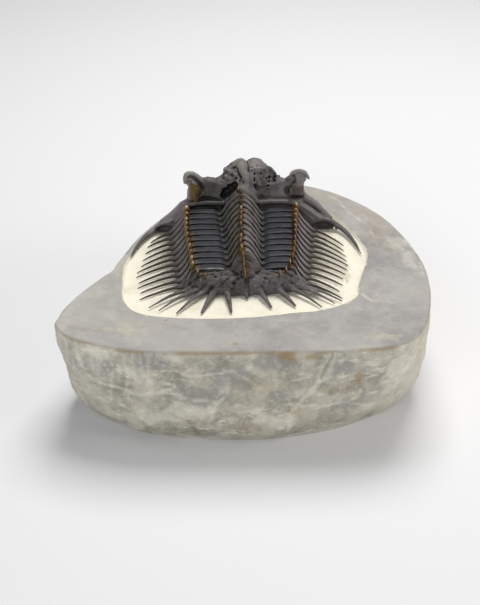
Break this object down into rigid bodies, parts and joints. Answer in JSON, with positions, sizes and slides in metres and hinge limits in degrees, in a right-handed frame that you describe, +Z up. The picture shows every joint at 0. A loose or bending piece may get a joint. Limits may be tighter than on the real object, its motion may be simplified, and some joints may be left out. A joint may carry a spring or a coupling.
{
  "type": "trilobite fossil on its matrix slab",
  "caption": "Spiny trilobite fossil, prepared free on a carved limestone slab with a flat base: head shield, overlapping thorax plates and tail shield.",
  "frame": {"origin": "centre of the slab's base", "axes": "+Z up from the flat base, +X across the slab to the animal's right, +Y from the tail towards the head"},
  "size_m": [0.1014, 0.0986, 0.0486],
  "materials": {
    "limestone": "cloudy grey limestone, ground matt, with a cream carved dish",
    "fossil_shell": "charcoal calcite, satin, with honey amber standing spines"
  },
  "bodies": {
    "root": {"matrix_slab": "limestone", "head_shield": "fossil_shell", "thorax_plate_01": "fossil_shell", "thorax_plate_02": "fossil_shell", "thorax_plate_03": "fossil_shell", "thorax_plate_04": "fossil_shell", "thorax_plate_05": "fossil_shell", "thorax_plate_06": "fossil_shell", "thorax_plate_07": "fossil_shell", "thorax_plate_08": "fossil_shell", "thorax_plate_09": "fossil_shell", "thorax_plate_10": "fossil_shell", "thorax_plate_11": "fossil_shell", "tail_shield": "fossil_shell"}
  },
  "joints": []
}
